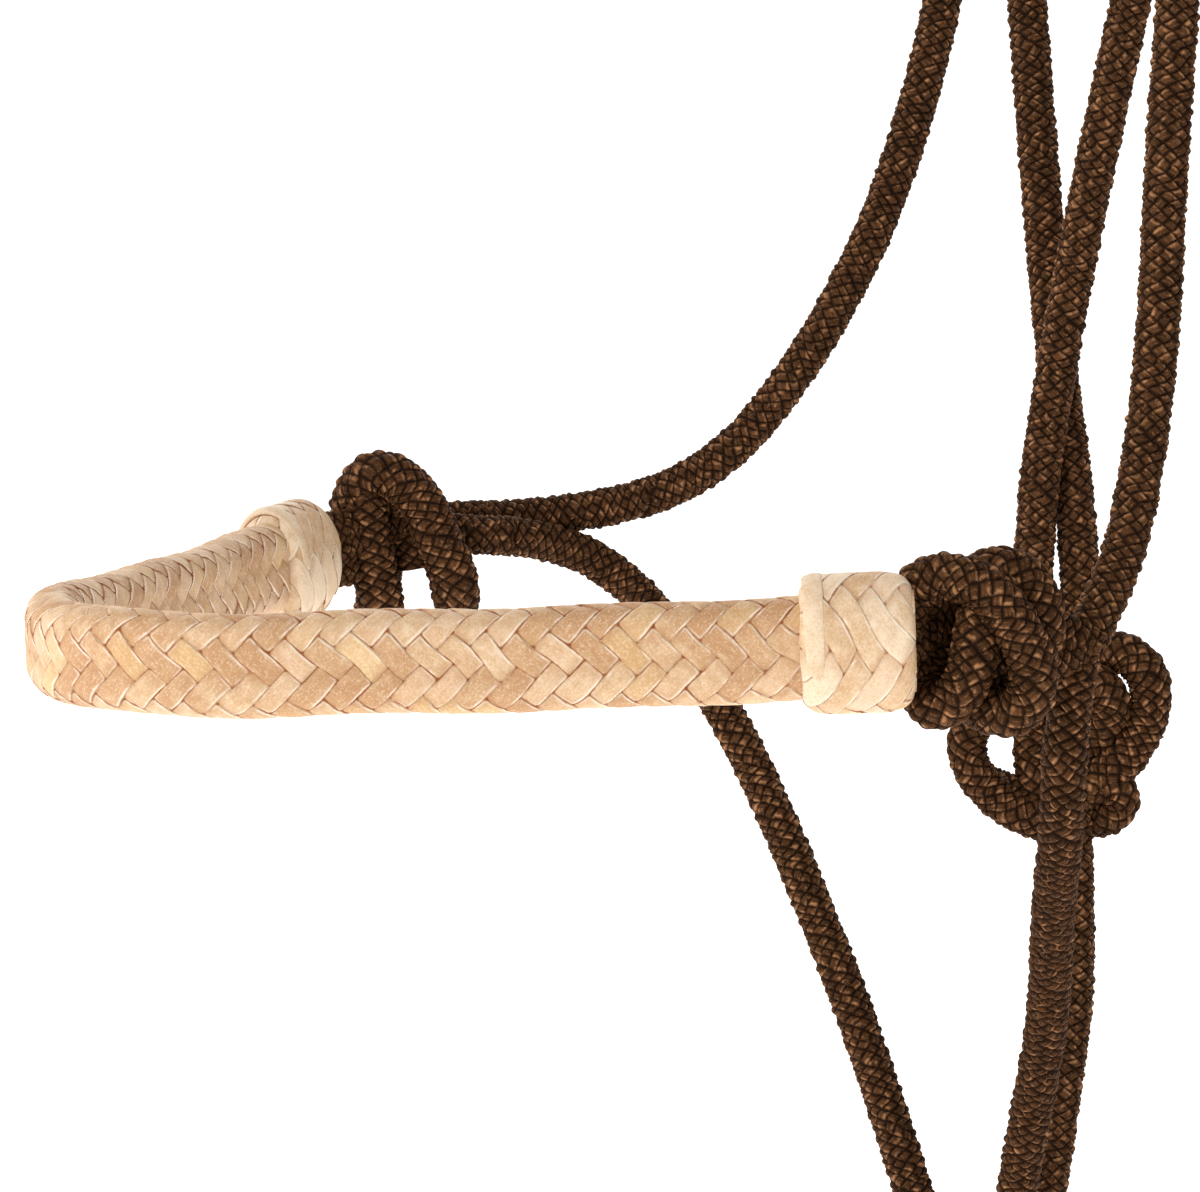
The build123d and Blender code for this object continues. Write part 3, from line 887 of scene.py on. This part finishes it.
cheekTies = tiedStrand(2, 3, 5.6, 2.6, 6.6)
hitchTies = tiedStrand(2, 3, 6.2, 2.6, 6.6)
hitchTies += [
    (0.0033, [(0, 2, 2), (2, -8, 5), (4, -15, 3), (4, -17.5, -5), (4, -17, -15)]),
    (0.0033, [(6, 0, 0), (9, -9, 3), (12.5, -15, 1), (12.5, -17.5, -6), (12.5, -17, -15)]),
]
fiadorTies = tiedStrand(3, 4, 7.2, 2.8, 9.2)
for x in (-3.5, 3.5):
    for y in (-7.5, 7.5):
        fiadorTies.append((0.0033, [(0.5 * x, 0.5 * y, -2), (x, 0.9 * y, -9), (x, y, -17)]))
knotPiece("near_cheek_knot", (0.090, -0.061, 0.240), cheekTies, "headstall", hiddenSteps, squared)
knotPiece("far_cheek_knot", (0.130, 0.061, 0.240), cheekTies, "headstall", hiddenSteps, squared)
knotPiece("tie_hitch", (0.090, -0.066, 0.284), hitchTies, "headstall", hiddenSteps, squared)
knotPiece("fiador_knot", (0.088, 0.0, -0.135), fiadorTies, "headstall", hiddenSteps, squared)
print("knots ready")

for label in ("throat_rope_near", "throat_rope_far", "throatlatch_near", "throatlatch_far",
              "crown_rope_front", "crown_rope_rear", "tie_loop"):
    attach(ropes[label], "headstall")

# Each rope that leaves a moving body, with the body holding it, the moving body and two points over its
# first few centimetres; the loop below only bakes each rope's transform into its mesh
bends = {
    "near_cheek_rope": ("noseband", "headstall", (0.035, -0.087, 0.001), (0.053, -0.083, 0.062)),
    "near_chin_rope": ("noseband", "headstall", (0.032, -0.084, -0.012), (0.055, -0.053, -0.058)),
    "far_cheek_rope": ("noseband", "headstall", (0.040, 0.087, 0.006), (0.094, 0.050, 0.042)),
    "far_chin_rope": ("noseband", "headstall", (0.042, 0.081, 0.002), (0.075, 0.050, -0.044)),
    "lead_loop_front": ("headstall", "lead_loops", (0.088, 0, -0.148), (0.088, 0, -0.178)),
    "lead_loop_rear": ("headstall", "lead_loops", (0.088, 0, -0.148), (0.088, 0, -0.178)),
    "tail_long": ("headstall", "long_tail", (0.094, -0.083, 0.272), (0.094, -0.085, 0.244)),
    "tail_short": ("headstall", "short_tail", (0.1025, -0.083, 0.272), (0.1025, -0.085, 0.244)),
}
for label, (held, moving, start, end) in bends.items():
    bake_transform(ropes[label])

for label in ("tail_long", "tail_short"):
    tail = place(routes[label])
    run = smoothLine(tail, 0.004)

for name in ("sealed_tip_long", "sealed_tip_short"):
    for slot in bpy.data.objects[name].material_slots:
        slot.material = meltedEnd

floorZ = cadLow[2] - studio["gap"]
floorMesh = bpy.data.meshes.new("floor")
# The floor sweeps up into a wall by a quarter circle
back, cove = studio["back"], studio["cove"]
bend = np.linspace(0.05, math.pi / 2, studio["coveSteps"])
profile = [(studio["front"], floorZ), (back, floorZ)]
profile += [(back + cove * math.sin(t), floorZ + cove - cove * math.cos(t)) for t in bend]
profile += [(back + cove, floorZ + studio["wall"])]
corners = []
for reach, z in profile:
    for sideways in (-studio["halfWidth"], studio["halfWidth"]):
        spot = viewDeep * reach + viewRight * sideways
        corners.append((spot[0], spot[1], z))
faces = [(2 * k, 2 * k + 1, 2 * k + 3, 2 * k + 2) for k in range(len(profile) - 1)]
floorMesh.from_pydata(corners, [], faces)
floorMesh.shade_smooth()
floorMesh.materials.append(paperMaterial("white_studio_paper", studio["paper"], studio["paperRoughness"]))
floor = bpy.data.objects.new("floor", floorMesh)
bpy.context.scene.collection.objects.link(floor)

world = bpy.data.worlds.new("studio")
world.use_nodes = True
world.node_tree.nodes["Background"].inputs[0].default_value = (1, 1, 1, 1)
world.node_tree.nodes["Background"].inputs[1].default_value = studio["ambient"]
bpy.context.scene.world = world
bpy.context.scene.view_settings.view_transform = "Standard"


def softLight(name, right, deep, up, size, power):
    # A square light aimed at the noseband, placed from it by the view's own directions
    data = bpy.data.lights.new(name, "AREA")
    data.size = size
    data.energy = power
    light = bpy.data.objects.new(name, data)
    bpy.context.scene.collection.objects.link(light)
    aim = Vector(place(look["aim"]))
    spot = aim + Vector(viewRight) * right + Vector(viewDeep) * deep + Vector((0, 0, up))
    light.location = spot
    light.rotation_euler = (aim - spot).to_track_quat("-Z", "Y").to_euler()


for name, values in lights.items():
    softLight(name, *values)
print("floor and lights ready")
